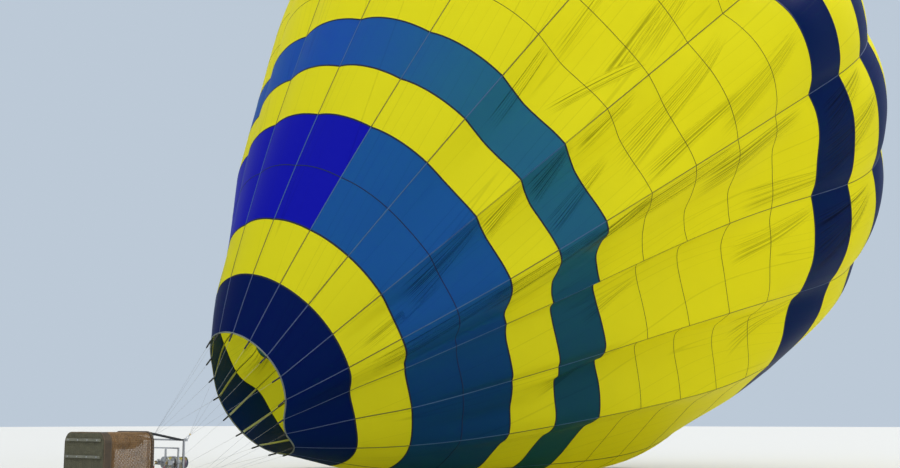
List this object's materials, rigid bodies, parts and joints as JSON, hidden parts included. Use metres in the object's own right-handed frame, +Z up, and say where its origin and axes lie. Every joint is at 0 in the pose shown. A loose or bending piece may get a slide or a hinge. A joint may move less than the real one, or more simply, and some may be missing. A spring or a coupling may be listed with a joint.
{
  "type": "hot air balloon",
  "caption": "Large striped hot air balloon at inflation: gored envelope with parachute valve, wire rigging, gimballed double burner and wicker basket on its side.",
  "frame": {"origin": "the envelope's centre of lift, on its axis, where the air holds the balloon up", "axes": "+Z up; +X level, from the basket towards the crown; the envelope's axis leans up from +X by 34.6 degrees; +Y to the left of that, away from the picture's camera"},
  "size_m": [27.3525, 19.1524, 21.3516],
  "materials": {
    "yellow_cloth": "ripstop nylon, thin and glowing where the sun comes through",
    "navy_cloth": "ripstop nylon",
    "blue_cloth": "ripstop nylon",
    "royal_cloth": "ripstop nylon",
    "teal_cloth": "ripstop nylon",
    "hem_webbing": "woven polyester webbing",
    "load_tape": "woven polyester load tape",
    "wicker": "woven willow and cane",
    "plywood": "varnished marine plywood",
    "hide": "raw suede hide",
    "cylinder_alloy": "brushed",
    "steel": "brushed",
    "wire_sleeve": "black heat sleeve over stainless wire",
    "upright_cover": "padded black cover over a nylon rod",
    "frame_steel": "bead blasted",
    "can_steel": "polished, heat tinted"
  },
  "bodies": {
    "balloon": {"envelope_navy_mouth": "navy_cloth", "envelope_yellow_lower": "yellow_cloth", "envelope_blue": "blue_cloth", "envelope_royal_panel": "royal_cloth", "envelope_yellow_middle": "yellow_cloth", "envelope_teal": "teal_cloth", "envelope_yellow_main_lower": "yellow_cloth", "envelope_yellow_main_upper": "yellow_cloth", "envelope_navy_shoulder": "navy_cloth", "envelope_yellow_shoulder": "yellow_cloth", "envelope_navy_upper": "navy_cloth", "envelope_yellow_crown_lower": "yellow_cloth", "envelope_yellow_crown_upper": "yellow_cloth", "mouth_hem": "hem_webbing", "crown_ring": "load_tape", "basket_walls": "wicker", "basket_floor": "plywood", "basket_hide_band": "hide", "basket_rim": "hide", "basket_runner_1": "plywood", "fuel_cylinder_1": "cylinder_alloy", "karabiner_1": "steel", "flying_wires_1": "wire_sleeve", "upright_1": "upright_cover", "basket_runner_2": "plywood", "fuel_cylinder_2": "cylinder_alloy", "karabiner_2": "steel", "flying_wires_2": "wire_sleeve", "upright_2": "upright_cover", "basket_runner_3": "plywood", "fuel_cylinder_3": "cylinder_alloy", "karabiner_3": "steel", "flying_wires_3": "wire_sleeve", "upright_3": "upright_cover", "basket_runner_4": "plywood", "fuel_cylinder_4": "cylinder_alloy", "karabiner_4": "steel", "flying_wires_4": "wire_sleeve", "upright_4": "upright_cover", "burner_frame": "frame_steel"},
    "gimbal": {"gimbal_ring": "frame_steel"},
    "burner": {"burner_carrier": "frame_steel", "burner_can_near": "can_steel", "burner_can_far": "can_steel"},
    "valve": {"parachute_valve": "yellow_cloth"}
  },
  "joints": [
    {"name": "gimbal_outer", "type": "hinge", "parent": "balloon", "child": "gimbal", "pos_m": [-15.6402, 0, -10.5835], "axis": [0, 1, 0], "range_deg": [-15, 15]},
    {"name": "gimbal_inner", "type": "hinge", "parent": "gimbal", "child": "burner", "pos_m": [-15.6402, 0, -10.5835], "axis": [0, 0, 1], "range_deg": [-15, 15]},
    {"name": "valve_slide", "type": "slide", "parent": "balloon", "child": "valve", "axis": [-0.8231, 0, -0.5678], "range_m": [0, 1.5]}
  ]
}
